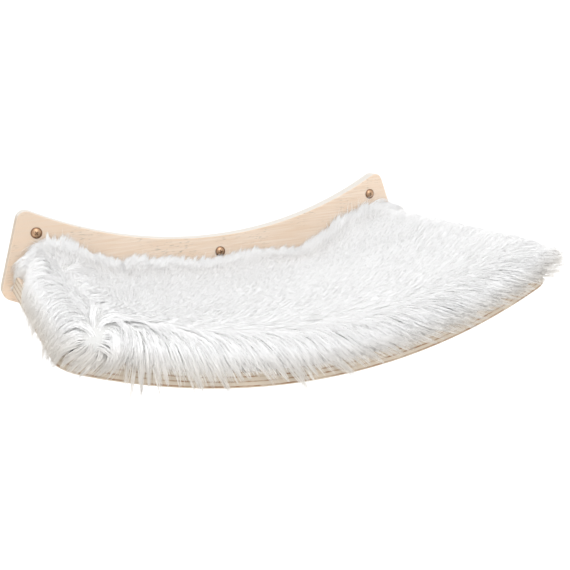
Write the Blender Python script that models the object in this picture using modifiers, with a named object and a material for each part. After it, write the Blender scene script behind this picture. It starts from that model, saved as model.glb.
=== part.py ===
"""Wall-mounted cat hammock: a bent plywood seat on a curved plywood wall plate, with a long-pile pad.

Metres, +Z up. The wall is the plane y = 0 and the room lies towards -Y. The origin is on the wall plate's
back face, on the centre line, halfway between the plate's top and bottom edges.
"""
import math

import bmesh
import bpy
from mathutils import Matrix, Vector

# Pieces that touch keep this clearance
GAP = 0.0003

# Points nearer than this are one, faces that differ by less are one flat, rims steeper than this are eased,
# and edges sharper than this are shaded sharp
WELD = 1e-6
FLAT_ANGLE = math.radians(0.05)
RIM_ANGLE = math.radians(80)
SHARP_ANGLE = math.radians(35)

# Half width of the seat, and of the wall plate level with the lowest point of its top edge
HALF_WIDTH = 0.2637

# Wall plate: flat plywood between two arcs about one centre, with slanted ends
PLATE_THICKNESS = 0.018
PLATE_BAND = 0.107
PLATE_TOP_RADIUS = 0.498
PLATE_END_SLANT = math.radians(18.2)
PLATE_TOP_CORNER = 0.011
PLATE_BOTTOM_CORNER = 0.013
PLY_EASE = 0.0013

# Seat: one bent plywood board that butts against the plate's front face
SEAT_THICKNESS = 0.018
SEAT_RADIUS = 0.629
SEAT_DEPTH = 0.321
SEAT_CORNER = 0.020
PLATE_LIP = 0.016

# Wall screws: raised heads with a cross recess, one at each end of the plate and one in the middle
WALL_SCREW_FROM_END = 0.0367
WALL_SCREW_INSET = 0.021
WALL_SCREW_DIAMETER = 0.006
WALL_SCREW_LENGTH = 0.060
WALL_SCREW_HEAD = 0.0132
WALL_SCREW_DOME = 0.0026
WALL_SCREW_TURNS = {"left": math.radians(38), "centre": math.radians(12), "right": math.radians(75)}

# Seat screws: driven from behind through the plate into the seat's back edge
SEAT_SCREW_COUNT = 5
SEAT_SCREW_DIAMETER = 0.005
SEAT_SCREW_LENGTH = 0.055
SEAT_SCREW_HEAD = 0.010
SEAT_SCREW_SINK = 0.0005
SEAT_SCREW_FROM_END = 0.042

# Dowels: glued between the plate and the seat, halfway between the seat screws
DOWEL_DIAMETER = 0.008
DOWEL_LENGTH = 0.030
DOWEL_IN_PLATE = 0.011
DOWEL_CHAMFER = 0.001
DOWEL_END_ROOM = 0.0007

# Hook-and-loop patches: four pairs that hold the pad to the seat
PATCH_LENGTH = 0.100
PATCH_WIDTH = 0.025
PATCH_THICKNESS = 0.0012
PATCH_FROM_END = 0.040
PATCH_FROM_EDGE = 0.035

# Pad: a cloth base, a thin wadding and a long-pile cover that hangs over the seat's edges
CLOTH_THICKNESS = 0.0015
CLOTH_INSET = 0.006
WADDING_THICKNESS = 0.012
WADDING_INSET = 0.004
WADDING_EASE = 0.004
PILE_ABOVE_WADDING = 0.0160

# How far the pile bulges past the seat at its front and ends, and the share of that at its corners
PILE_PAST_FRONT = 0.0145
PILE_PAST_LEFT = 0.0145
PILE_PAST_RIGHT = 0.0250
PILE_CORNER_SHARE = 0.70

# How high the pile stands against the plate, how far its hem hangs below the seat's top, how far out from the
# plate its rise starts and half of it is gone, and how far in from the front its top starts to roll down
PILE_CREST = 0.046
PILE_HEM = 0.031
PILE_RISE = 0.070
PILE_RISE_STEEP = 0.022
PILE_ROLL = 0.026

# The pile from its left end to its right end: (share of the seat's half length, share of the crest, share of
# the hem). It is longest at the left, where it is combed over the edge
PILE_COLUMNS = (
    (-1.00, 0.74, 0.39),
    (-0.93, 1.02, 0.77),
    (-0.83, 1.20, 1.00),
    (-0.71, 0.96, 1.00),
    (-0.50, 0.98, 1.00),
    (-0.27, 1.00, 0.45),
    (0.00, 1.00, 0.32),
    (0.27, 0.98, 0.26),
    (0.45, 0.74, 0.26),
    (0.71, 0.98, 0.26),
    (0.91, 0.96, 0.26),
    (1.00, 0.78, 0.26),
)

# The pile from behind the plate's face to the front edge: (distance from the seat's back edge, share of the
# rise against the plate, share of the bulge at the left end)
PILE_ROWS = (
    (-PILE_ROLL, 1.00, 0.30),
    (0.0, 1.00, 0.30),
    (PILE_RISE_STEEP, 0.20, 0.35),
    (PILE_RISE, 0.00, 0.70),
    (SEAT_DEPTH * 0.55, 0.00, 1.00),
    (SEAT_DEPTH - PILE_ROLL, 0.00, 1.00),
    (SEAT_DEPTH, 0.00, 1.00),
)

# The pile's side: the height of its shoulder, and how far its hem, its shoulder and its top's rim lie inside
# its widest part
PILE_SHOULDER = 0.020
PILE_HEM_IN = 0.0015
PILE_SHOULDER_IN = 0.001
PILE_RIM_IN = 0.0145

# Facets of the bent board and of round pieces
BEND_STATIONS = 28
ARC_STATIONS = 20
CORNER_STEPS = 6
ROUND_STEPS = 20
DOME_STEPS = 4

# Cross recess of a wall screw's head: its span at the crown and at its floor
RECESS_SPAN = 0.0078
RECESS_FLOOR_SPAN = 0.0028
RECESS_WIDTH = 0.0011
RECESS_DEPTH = 0.0022

# A screw's point is this many diameters long
SCREW_POINT = 1.5

# The same for a seat screw's flush head
SEAT_RECESS_SPAN = 0.0056
SEAT_RECESS_DEPTH = 0.0020

# How far a cutter runs past what it cuts, how far down the room for the seat runs through the pile, and the
# size of the room for the plate behind it
CUT_OVER = 0.010
SEAT_ROOM = 0.070
PLATE_ROOM = 1.0

PLATE_TOP_Z = PLATE_BAND / 2
PLATE_CENTRE_Z = PLATE_TOP_Z + PLATE_TOP_RADIUS
PLATE_BOTTOM_RADIUS = PLATE_TOP_RADIUS + PLATE_BAND
WALL_SCREW_SPREAD = HALF_WIDTH - WALL_SCREW_FROM_END
SEAT_CENTRE_Z = -PLATE_BAND / 2 + PLATE_LIP + SEAT_RADIUS
SEAT_TOP_RADIUS = SEAT_RADIUS - SEAT_THICKNESS
SEAT_HALF_ANGLE = math.asin(HALF_WIDTH / SEAT_RADIUS)
SEAT_HALF_ARC = SEAT_TOP_RADIUS * SEAT_HALF_ANGLE
SEAT_BACK_Y = -PLATE_THICKNESS - GAP
SEAT_FRONT_Y = SEAT_BACK_Y - SEAT_DEPTH
CLOTH_BOTTOM = 3 * GAP + 2 * PATCH_THICKNESS
WADDING_BOTTOM = CLOTH_BOTTOM + CLOTH_THICKNESS + GAP
PILE_BOTTOM = WADDING_BOTTOM + WADDING_THICKNESS + GAP
PILE_TOP = PILE_BOTTOM + PILE_ABOVE_WADDING


def clear_scene():
    for obj in list(bpy.data.objects):
        bpy.data.objects.remove(obj, do_unlink=True)


def new_collection(name):
    collection = bpy.data.collections.new(name)
    bpy.context.scene.collection.children.link(collection)
    return collection


def material(name, hex_colour, roughness, metallic=0.0):
    """A Principled BSDF with one sRGB colour, turned to linear."""
    finish = bpy.data.materials.new(name)
    finish.use_nodes = True
    channels = [int(hex_colour[i : i + 2], 16) / 255 for i in (0, 2, 4)]
    linear = [c / 12.92 if c <= 0.04045 else ((c + 0.055) / 1.055) ** 2.4 for c in channels]
    shader = finish.node_tree.nodes["Principled BSDF"]
    shader.inputs["Base Color"].default_value = (*linear, 1.0)
    shader.inputs["Roughness"].default_value = roughness
    shader.inputs["Metallic"].default_value = metallic
    finish.diffuse_color = (*linear, 1.0)
    return finish


def add_object(name, mesh, collection, finish=None):
    obj = bpy.data.objects.new(name, mesh)
    collection.objects.link(obj)
    if finish and not mesh.materials:
        mesh.materials.append(finish)
    return obj


def add_mesh(name, bm, collection, finish=None):
    mesh = bpy.data.meshes.new(name)
    bm.to_mesh(mesh)
    bm.free()
    return add_object(name, mesh, collection, finish)


def add_cutter(name, bm):
    cutter = add_mesh(name, bm, CUTTERS)
    hide_cutter(cutter)
    return cutter


def hide_cutter(cutter):
    cutter.hide_render = True
    cutter.display_type = "WIRE"


def cut(obj, cutter):
    boolean = obj.modifiers.new("cut by " + cutter.name, "BOOLEAN")
    boolean.operation = "DIFFERENCE"
    boolean.solver = "EXACT"
    boolean.object = cutter


def shade(obj):
    obj.data.shade_smooth()
    obj.data.set_sharp_from_angle(angle=SHARP_ANGLE)


def baked_mesh(obj, name):
    """The object's evaluated mesh in its own space, with a curve's loose caps welded."""
    graph = bpy.context.evaluated_depsgraph_get()
    mesh = bpy.data.meshes.new_from_object(obj.evaluated_get(graph))
    mesh.name = name
    bm = bmesh.new()
    bm.from_mesh(mesh)
    bmesh.ops.remove_doubles(bm, verts=bm.verts, dist=WELD)
    bm.to_mesh(mesh)
    bm.free()
    return mesh


def extruded_outline(name, points, depth, ease=0.0):
    """A bmesh slab of a flat outline, centred on its own XY plane, from a filled and extruded 2D curve."""
    curve = bpy.data.curves.new(name + " outline", "CURVE")
    curve.dimensions = "2D"
    curve.fill_mode = "BOTH"
    curve.extrude = depth / 2
    spline = curve.splines.new("POLY")
    spline.points.add(len(points) - 1)
    for point, (x, y) in zip(spline.points, points):
        point.co = (x, y, 0, 1)
    spline.use_cyclic_u = True
    outline = bpy.data.objects.new(name + " outline", curve)
    CUTTERS.objects.link(outline)
    mesh = baked_mesh(outline, name)
    bpy.data.objects.remove(outline, do_unlink=True)
    bm = bmesh.new()
    bm.from_mesh(mesh)
    bpy.data.meshes.remove(mesh)
    bmesh.ops.dissolve_limit(bm, angle_limit=FLAT_ANGLE, verts=bm.verts, edges=bm.edges)
    if ease:
        rims = [edge for edge in bm.edges if edge.calc_face_angle() > RIM_ANGLE]
        bmesh.ops.bevel(
            bm, geom=rims, offset=ease, offset_type="OFFSET", segments=2, profile=0.5, affect="EDGES",
            material=-1,
        )
    return bm


def turned(name, profile, collection, finish=None, steps=ROUND_STEPS):
    """A turned solid about its own Z axis. The profile holds (radius, height) pairs from top to bottom."""
    bm = bmesh.new()
    ring = [bm.verts.new((radius, 0, height)) for radius, height in profile]
    for upper, lower in zip(ring, ring[1:]):
        bm.edges.new((upper, lower))
    obj = add_mesh(name, bm, collection, finish)
    screw = obj.modifiers.new("turned", "SCREW")
    screw.angle = math.tau
    screw.steps = screw.render_steps = steps
    screw.use_merge_vertices = True
    screw.merge_threshold = WELD
    return obj


def facing(obj, place, outward_y, turn=0.0):
    """Puts a turned piece so that its head looks along +Y or -Y, turned about its own axis."""
    tip = Matrix.Rotation(-outward_y * math.pi / 2, 4, "X")
    obj.matrix_world = Matrix.Translation(place) @ tip @ Matrix.Rotation(turn, 4, "Z")


def arc(centre, radius, start, end, steps):
    """Points (x, z) on a circle, with angles measured from straight down towards +X."""
    angles = [start + (end - start) * i / steps for i in range(steps + 1)]
    return [(centre[0] + radius * math.sin(a), centre[1] - radius * math.cos(a)) for a in angles]


def plate_corner(ring_radius, inside, corner_radius):
    """The rounding between one of the plate's arcs and its slanted right end.

    Returns the rounding's centre and the angle at which it leaves the arc. inside is 1 where the wood
    lies inside the arc, as at the bottom edge, and -1 where it lies outside, as at the top edge.
    """
    outward = Vector((math.cos(PLATE_END_SLANT), math.sin(PLATE_END_SLANT)))
    down = Vector((math.sin(PLATE_END_SLANT), -math.cos(PLATE_END_SLANT)))
    hub = Vector((0, PLATE_CENTRE_Z))
    start = Vector((HALF_WIDTH, PLATE_TOP_Z)) - outward * corner_radius - hub
    reach = ring_radius - inside * corner_radius
    along = start.dot(down)
    centre = hub + start + down * (-along + math.sqrt(along**2 - start.length_squared + reach**2))
    spoke = centre - hub
    return centre, math.atan2(spoke.x, -spoke.y)


def plate_outline():
    """The plate's outline (x, z), from the right half and its mirror image."""
    top_centre, top_angle = plate_corner(PLATE_TOP_RADIUS, -1, PLATE_TOP_CORNER)
    low_centre, low_angle = plate_corner(PLATE_BOTTOM_RADIUS, 1, PLATE_BOTTOM_CORNER)
    hub = (0, PLATE_CENTRE_Z)
    end_angle = math.pi / 2 + PLATE_END_SLANT
    right = arc(hub, PLATE_TOP_RADIUS, 0, top_angle, ARC_STATIONS)
    right += arc(top_centre, PLATE_TOP_CORNER, math.pi + top_angle, end_angle, CORNER_STEPS)[1:]
    right += arc(low_centre, PLATE_BOTTOM_CORNER, end_angle, low_angle, CORNER_STEPS)
    right += arc(hub, PLATE_BOTTOM_RADIUS, low_angle, 0, ARC_STATIONS)[1:]
    left = [(-x, z) for x, z in reversed(right[1:-1])]
    return right + left


def wall_screw_places():
    """The middle of each wall screw's seat on the plate's front face."""
    radius = PLATE_TOP_RADIUS + WALL_SCREW_INSET
    places = {}
    for name, x in (("left", -WALL_SCREW_SPREAD), ("centre", 0.0), ("right", WALL_SCREW_SPREAD)):
        places[name] = Vector((x, -PLATE_THICKNESS, PLATE_CENTRE_Z - math.sqrt(radius**2 - x**2)))
    return places


def seat_joint_place(angle, y):
    """A point in the middle of the seat's thickness, at an angle about the seat's centre."""
    radius = SEAT_RADIUS - SEAT_THICKNESS / 2
    return Vector((radius * math.sin(angle), y, SEAT_CENTRE_Z - radius * math.cos(angle)))


def seat_screw_angles():
    last = SEAT_HALF_ANGLE - SEAT_SCREW_FROM_END / SEAT_RADIUS
    step = 2 * last / (SEAT_SCREW_COUNT - 1)
    return [-last + step * i for i in range(SEAT_SCREW_COUNT)]


def dowel_angles():
    screws = seat_screw_angles()
    return [(a + b) / 2 for a, b in zip(screws, screws[1:])]


def dome_profile(diameter, height):
    """A spherical cap from its top to just above its rim, DOME_STEPS points in all."""
    radius = (diameter**2 / 4 + height**2) / (2 * height)
    sweep = math.asin(diameter / 2 / radius)
    angles = [sweep * i / DOME_STEPS for i in range(DOME_STEPS)]
    return [(radius * math.sin(a), height - radius * (1 - math.cos(a))) for a in angles]


def screw_profile(diameter, length, head, crown):
    """A countersunk screw, from its crown down. Height 0 is the face that its head is set in."""
    return crown + [
        (head / 2, 0.0),
        (diameter / 2, (diameter - head) / 2),
        (diameter / 2, SCREW_POINT * diameter - length),
        (0.0, -length),
    ]


def screw_hole_profile(diameter, head, depth, over):
    """The room that a countersunk screw needs: its head, its cone and its shank down to a depth."""
    wide = head / 2 + GAP
    narrow = diameter / 2 + GAP
    return [
        (0.0, over),
        (wide, over),
        (wide, -GAP),
        (narrow, -GAP - (wide - narrow)),
        (narrow, -depth),
        (0.0, -depth),
    ]


def dowel_profile(diameter, length, chamfer):
    radius = diameter / 2
    return [
        (0.0, length / 2),
        (radius - chamfer, length / 2),
        (radius, length / 2 - chamfer),
        (radius, chamfer - length / 2),
        (radius - chamfer, -length / 2),
        (0.0, -length / 2),
    ]


def turned_cutter(name, profile, place, outward_y):
    cutter = turned(name, profile, CUTTERS)
    facing(cutter, place, outward_y)
    hide_cutter(cutter)
    return cutter


def cut_recess(screw, crown, span, depth):
    """Presses a cross recess of two tapered wings into a screw's head, down from its crown's height."""
    for name, turn in (("wing a", 0.0), ("wing b", math.pi / 2)):
        bm = bmesh.new()
        bmesh.ops.create_cube(bm, size=1.0)
        for vert in bm.verts:
            low = vert.co.z < 0
            vert.co.x *= RECESS_FLOOR_SPAN if low else span
            vert.co.y *= RECESS_WIDTH
            vert.co.z = crown + (-depth if low else depth)
        bmesh.ops.rotate(bm, verts=bm.verts, matrix=Matrix.Rotation(turn, 3, "Z"))
        cut(screw, add_cutter(screw.name + " " + name, bm))


def bent(along, height, y):
    """A point of the bent seat: an arc length along its top face, a height above that face, and a depth."""
    angle = along / SEAT_TOP_RADIUS
    radius = SEAT_TOP_RADIUS - height
    return Vector((radius * math.sin(angle), y, SEAT_CENTRE_Z - radius * math.cos(angle)))


def bent_board(name, along_span, y_span, heights, collection, finish=None, corner=0.0, ease=0.0):
    """A flat board with rounded front corners, bent with the seat.

    along_span is measured along the seat's top face and heights up from it.
    """
    left, right = along_span
    front, back = y_span
    outline = [(left, back), (left, front)]
    if corner:
        quarter = arc((left + corner, front + corner), corner, -math.pi / 2, 0, CORNER_STEPS)
        outline = [(left, back)] + quarter
    middle = (left + right) / 2
    outline += [(2 * middle - x, y) for x, y in reversed(outline)]
    bm = extruded_outline(name, outline, heights[1] - heights[0], ease)
    stations = max(3, round(BEND_STATIONS * (right - left) / (2 * SEAT_HALF_ARC)))
    for number in range(1, stations):
        bmesh.ops.bisect_plane(
            bm,
            geom=bm.verts[:] + bm.edges[:] + bm.faces[:],
            dist=WELD,
            plane_co=(left + (right - left) * number / stations, 0, 0),
            plane_no=(1, 0, 0),
        )
    lift = (heights[0] + heights[1]) / 2
    for vert in bm.verts:
        vert.co = bent(vert.co.x, vert.co.z + lift, vert.co.y)
    return add_mesh(name, bm, collection, finish)


def make_back_plate(finish):
    bm = extruded_outline("back_plate", plate_outline(), PLATE_THICKNESS, PLY_EASE)
    bmesh.ops.rotate(bm, verts=bm.verts, matrix=Matrix.Rotation(math.pi / 2, 3, "X"))
    plate = add_mesh("back_plate", bm, PARTS, finish)
    plate.location = (0, -PLATE_THICKNESS / 2, 0)
    shade(plate)
    return plate


def make_seat_board(finish):
    seat = bent_board(
        "seat_board",
        (-SEAT_HALF_ARC, SEAT_HALF_ARC),
        (SEAT_FRONT_Y, SEAT_BACK_Y),
        (-SEAT_THICKNESS, 0.0),
        PARTS,
        finish,
        SEAT_CORNER,
        PLY_EASE,
    )
    shade(seat)
    return seat


def make_wall_screws(plate, finish):
    """Three screws of one mesh, each in a countersunk hole through the plate."""
    crown = dome_profile(WALL_SCREW_HEAD, WALL_SCREW_DOME)
    profile = screw_profile(WALL_SCREW_DIAMETER, WALL_SCREW_LENGTH, WALL_SCREW_HEAD, crown)
    pattern = turned("wall screw pattern", profile, CUTTERS, finish)
    cut_recess(pattern, WALL_SCREW_DOME, RECESS_SPAN, RECESS_DEPTH)
    mesh = baked_mesh(pattern, "wall_screw")
    bpy.data.objects.remove(pattern, do_unlink=True)
    hole = screw_hole_profile(
        WALL_SCREW_DIAMETER, WALL_SCREW_HEAD, PLATE_THICKNESS + CUT_OVER, CUT_OVER
    )
    for side, place in wall_screw_places().items():
        cut(plate, turned_cutter("wall_hole_" + side, hole, place, -1))
        screw = add_object("wall_screw_" + side, mesh, PARTS)
        facing(screw, place + Vector((0, -GAP, 0)), -1, WALL_SCREW_TURNS[side])
        shade(screw)


def make_seat_screws(plate, seat, finish):
    """Countersunk screws from the plate's back face into blind holes in the seat's back edge."""
    profile = screw_profile(SEAT_SCREW_DIAMETER, SEAT_SCREW_LENGTH, SEAT_SCREW_HEAD, [(0.0, 0.0)])
    pattern = turned("seat screw pattern", profile, CUTTERS, finish)
    cut_recess(pattern, 0.0, SEAT_RECESS_SPAN, SEAT_RECESS_DEPTH)
    mesh = baked_mesh(pattern, "seat_screw")
    bpy.data.objects.remove(pattern, do_unlink=True)
    depth = SEAT_SCREW_LENGTH + 2 * GAP
    hole = screw_hole_profile(SEAT_SCREW_DIAMETER, SEAT_SCREW_HEAD, depth, CUT_OVER)
    for number, angle in enumerate(seat_screw_angles(), start=1):
        place = seat_joint_place(angle, -SEAT_SCREW_SINK)
        cutter = turned_cutter(f"seat_screw_hole_{number}", hole, place, 1)
        cut(plate, cutter)
        cut(seat, cutter)
        screw = add_object(f"seat_screw_{number}", mesh, PARTS)
        facing(screw, place, 1)
        shade(screw)


def make_dowels(plate, seat, finish):
    """Chamfered dowels, each in two blind holes that face each other."""
    profile = dowel_profile(DOWEL_DIAMETER, DOWEL_LENGTH, DOWEL_CHAMFER)
    pattern = turned("dowel pattern", profile, CUTTERS, finish)
    mesh = baked_mesh(pattern, "seat_dowel")
    bpy.data.objects.remove(pattern, do_unlink=True)
    hole = dowel_profile(DOWEL_DIAMETER + 2 * GAP, DOWEL_LENGTH + 2 * DOWEL_END_ROOM, DOWEL_CHAMFER)
    middle_y = -PLATE_THICKNESS + DOWEL_IN_PLATE - DOWEL_LENGTH / 2
    for number, angle in enumerate(dowel_angles(), start=1):
        place = seat_joint_place(angle, middle_y)
        cutter = turned_cutter(f"dowel_hole_{number}", hole, place, 1)
        cut(plate, cutter)
        cut(seat, cutter)
        dowel = add_object(f"seat_dowel_{number}", mesh, PARTS)
        facing(dowel, place, 1)
        shade(dowel)


def make_patches(hook_finish, loop_finish):
    """Hook patches stuck to the seat and loop patches sewn under the pad, in four pairs."""
    outer = SEAT_HALF_ARC - PATCH_FROM_END
    spans = {"left": (-outer, PATCH_LENGTH - outer), "right": (outer - PATCH_LENGTH, outer)}
    back = SEAT_BACK_Y - PATCH_FROM_EDGE
    front = SEAT_FRONT_Y + PATCH_FROM_EDGE
    depths = {"back": (back - PATCH_WIDTH, back), "front": (front, front + PATCH_WIDTH)}
    hook = (GAP, GAP + PATCH_THICKNESS)
    loop = (hook[1] + GAP, hook[1] + GAP + PATCH_THICKNESS)
    for row, depth in depths.items():
        for side, span in spans.items():
            for kind, heights, finish in (("hook", hook, hook_finish), ("loop", loop, loop_finish)):
                patch = bent_board(f"{kind}_patch_{row}_{side}", span, depth, heights, PARTS, finish)
                shade(patch)


def layer_spans(inset):
    """The spans along and across the seat of a layer set in from the seat's outline."""
    along = (inset - SEAT_HALF_ARC, SEAT_HALF_ARC - inset)
    return along, (SEAT_FRONT_Y + inset, SEAT_BACK_Y - inset)


def make_pad_layer(name, inset, bottom, thickness, ease, finish):
    """A layer of the pad, set in from the seat's outline and bent with it."""
    along, across = layer_spans(inset)
    heights = (bottom, bottom + thickness)
    corner = SEAT_CORNER - inset
    layer = bent_board(name, along, across, heights, PARTS, finish, corner, ease)
    shade(layer)
    return layer


def pile_cage():
    """A coarse box in the pile's shape: level inside, high against the plate, rolled down past the seat."""
    insets = (PILE_HEM_IN, 0.0, PILE_SHOULDER_IN, PILE_RIM_IN)
    spans = (len(PILE_COLUMNS) - 1, len(PILE_ROWS) - 1, len(insets) - 1)
    bm = bmesh.new()
    bmesh.ops.create_cube(bm, size=2.0)
    for axis, parts in enumerate(spans):
        along = [e for e in bm.edges if abs((e.verts[0].co - e.verts[1].co)[axis]) > 1.0]
        bmesh.ops.subdivide_edges(bm, edges=along, cuts=parts - 1, use_grid_fill=True)
    for vert in bm.verts:
        shares = ((vert.co.x + 1) / 2, (1 - vert.co.y) / 2, (vert.co.z + 1) / 2)
        column, row, ring = (round(share * parts) for share, parts in zip(shares, spans))
        place, crest, hem = PILE_COLUMNS[column]
        distance, rise, left_share = PILE_ROWS[row]
        top = PILE_TOP + rise * (PILE_CREST * crest - PILE_TOP)
        height = (-PILE_HEM * hem, 0.0, PILE_SHOULDER, top)[ring]
        inside = insets[ring]
        past_end = {0: PILE_PAST_LEFT * left_share, spans[0]: PILE_PAST_RIGHT}.get(column)
        at_front = row == spans[1]
        corner = PILE_CORNER_SHARE if at_front and past_end is not None else 1.0
        along = place * SEAT_HALF_ARC
        y = SEAT_BACK_Y - distance
        if past_end is not None:
            along += math.copysign(corner * (past_end - inside), place)
        if at_front:
            y -= corner * (PILE_PAST_FRONT - inside)
        vert.co = bent(along, height, y)
    return bm


def room(name, along, across, heights, corner):
    cutter = bent_board(name, along, across, heights, CUTTERS, corner=corner)
    hide_cutter(cutter)
    return cutter


def make_fur_cover(finish):
    """The pile as one soft solid, hollowed where the seat's edge and the pad's layers sit in it."""
    cover = add_mesh("fur_cover", pile_cage(), PARTS, finish)
    subdivision = cover.modifiers.new("soft form", "SUBSURF")
    subdivision.levels = subdivision.render_levels = 2
    bm = bmesh.new()
    bmesh.ops.create_cube(bm, size=PLATE_ROOM)
    bmesh.ops.translate(bm, verts=bm.verts, vec=(0, PLATE_ROOM / 2 + SEAT_BACK_Y, 0))
    cut(cover, add_cutter("plate_room", bm))
    inset = CLOTH_INSET - GAP
    heights = (-SEAT_THICKNESS, PILE_BOTTOM)
    cut(cover, room("layer_room", *layer_spans(inset), heights, SEAT_CORNER - inset))
    along, across = layer_spans(-GAP)
    across = (across[0], across[1] + CUT_OVER)
    cut(cover, room("seat_room", along, across, (-SEAT_ROOM, GAP), SEAT_CORNER + GAP))
    shade(cover)


clear_scene()
PARTS = new_collection("cat_hammock")
CUTTERS = new_collection("cutters")

plywood = material("plywood", "E8D2BB", 0.62)
beech = material("beech", "D9B98C", 0.6)
brass = material("antique_brass", "A57A54", 0.35, metallic=1.0)
zinc = material("zinc_plated_steel", "B9BDBF", 0.35, metallic=1.0)
hook_tape = material("hook_tape", "E6E4DF", 0.7)
loop_tape = material("loop_tape", "EFEDE8", 0.95)
base_cloth = material("base_cloth", "E9E6E0", 0.9)
wadding = material("wadding", "F4F3F0", 1.0)
faux_fur = material("faux_fur", "F3F1EF", 0.95)

back_plate = make_back_plate(plywood)
seat_board = make_seat_board(plywood)
make_wall_screws(back_plate, brass)
make_seat_screws(back_plate, seat_board, zinc)
make_dowels(back_plate, seat_board, beech)
make_patches(hook_tape, loop_tape)
make_pad_layer("pad_base_cloth", CLOTH_INSET, CLOTH_BOTTOM, CLOTH_THICKNESS, 0.0, base_cloth)
make_pad_layer(
    "pad_wadding", CLOTH_INSET + WADDING_INSET, WADDING_BOTTOM, WADDING_THICKNESS, WADDING_EASE, wadding
)
make_fur_cover(faux_fur)
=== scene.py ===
"""Looks of the wall-mounted cat hammock, laid out as an add-on and run as a script.

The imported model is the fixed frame. Everything is in metres with +Z up, the wall is the plane y = 0 and the
room lies towards -Y.
"""

import math
import random
from functools import partial

import bmesh
import bpy
from bpy.props import FloatProperty, FloatVectorProperty, IntProperty, PointerProperty
from mathutils import Matrix, Vector, noise
from mathutils.kdtree import KDTree


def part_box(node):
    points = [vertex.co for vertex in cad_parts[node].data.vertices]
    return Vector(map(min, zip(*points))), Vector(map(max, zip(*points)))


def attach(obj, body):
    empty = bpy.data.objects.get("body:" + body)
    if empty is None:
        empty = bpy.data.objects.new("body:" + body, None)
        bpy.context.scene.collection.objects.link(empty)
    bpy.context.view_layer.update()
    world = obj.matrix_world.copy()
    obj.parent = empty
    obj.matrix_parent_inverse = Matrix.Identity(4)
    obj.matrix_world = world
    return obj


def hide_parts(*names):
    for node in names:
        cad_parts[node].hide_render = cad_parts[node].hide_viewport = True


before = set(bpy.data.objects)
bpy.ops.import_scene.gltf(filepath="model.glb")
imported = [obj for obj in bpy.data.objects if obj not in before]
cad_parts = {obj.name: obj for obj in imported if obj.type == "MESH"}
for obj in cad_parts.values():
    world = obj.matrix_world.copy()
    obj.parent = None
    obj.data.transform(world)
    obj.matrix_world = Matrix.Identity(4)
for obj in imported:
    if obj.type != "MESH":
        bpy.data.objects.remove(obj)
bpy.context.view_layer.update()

bl_info = {
    "name": "Cat hammock looks",
    "version": (1, 0, 0),
    "blender": (4, 5, 0),
    "location": "View3D > Sidebar > Cat hammock",
    "description": "Dresses the packed cat hammock: plywood, screws and a long-pile pad",
    "category": "Object",
}

MM = 0.001

# The bent seat, with the values of the part's source: radius of its underside, thickness, front corners. Then
# the middle of its bend, its top face's radius and half arc length, its edges, and the plate's face
SEAT_RADIUS = 0.629
SEAT_THICKNESS = 0.018
SEAT_CORNER = 0.020
SEAT_LOW, SEAT_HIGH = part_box("seat_board")
CENTRE_Z = SEAT_LOW.z + SEAT_RADIUS
TOP_RADIUS = SEAT_RADIUS - SEAT_THICKNESS
HALF_ARC = TOP_RADIUS * math.asin(SEAT_HIGH.x / SEAT_RADIUS)
BACK_Y = SEAT_HIGH.y
FRONT_Y = SEAT_LOW.y
PLATE_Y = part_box("back_plate")[0].y

# Painted shade that greys the plate's veneer towards its right and left ends: (from x, to x, how strongly)
GREYER_ENDS = ((0.215, 0.285, 0.3), (-0.13, -0.25, 0.65))

# How many times as long as wide a fleck of the veneer is, and the beech's rays in x, y and z
FLECK_ASPECT = 9
RAYS_PER_METRE = (900.0, 120.0, 900.0)

# How far the crown and the rim of a wall screw's head stand out of the plate's face
CROWN_STANDS, RIM_STANDS = 2.6 * MM, 0.4 * MM

# Depths under the seat's top face, less than 0 over it, between which the hanging pile greys with painted
# shade
HANGING_FROM, HANGING_TO = -0.018, 0.004


def linear(hex_colour):
    """An sRGB hex value as linear red, green and blue, and full opacity."""
    channels = [int(hex_colour[i : i + 2], 16) / 255 for i in (0, 2, 4)]
    return (*(c / 12.92 if c <= 0.04045 else ((c + 0.055) / 1.055) ** 2.4 for c in channels), 1.0)


def tint(name, description, hex_colour):
    return FloatVectorProperty(
        name=name, description=description, default=linear(hex_colour), size=4, min=0, max=1, subtype="COLOR"
    )


def metres(name, description, default):
    return FloatProperty(name=name, description=description, default=default, precision=5, unit="LENGTH")


class WoodLooks(bpy.types.PropertyGroup):
    """Sizes and colours of the plywood and the beech."""

    grain_width: metres("Grain width", "Width of a streak of the face veneer", 0.0032)
    grain_length: metres("Grain length", "Length of a streak of the face veneer", 0.075)
    pore_width: metres("Pore width", "Width of a dark fleck, drawn coarser than real", 0.0011)
    ply_pitch: metres("Ply pitch", "Distance from one cross ply to the next", 0.0046)
    face: tint("Face", "Sanded face veneer", "DCC4AC")
    face_pale: tint("Pale face", "Pale streaks of the face veneer", "E4D3C2")
    fleck: tint("Fleck", "Dark flecks and pores", "A39889")
    # Painted shade: a grey that darkens the plate's veneer towards its ends
    painted_end_shade: tint("Painted end shade", "Painted shade towards the ends of the plate", "C1AC97")
    # Painted light: the pale colour of the plate's upward-facing edges
    painted_top_light: tint("Painted top light", "Painted light on the plate's top edge", "D3CFC9")
    long_ply: tint("Long ply", "Edge of a ply that is cut along its grain", "C3B6A4")
    cross_ply: tint("Cross ply", "End grain of a ply that is cut across", "875F3A")
    beech: tint("Beech", "Turned beech dowels", "D9B98C")


class ScrewLooks(bpy.types.PropertyGroup):
    """Sizes and colours of the screws."""

    thread_pitch: metres("Thread pitch", "Rise of the thread in one turn", 0.0026)
    thread_depth: metres("Thread depth", "Height of the thread over the shank", 0.00075)
    brass: tint("Brass", "Browned brass plating", "C9A98A")
    patina: tint("Patina", "Dark patina in the hollows", "744E38")
    zinc: tint("Zinc", "Zinc plating", "B9BDBF")


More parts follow.
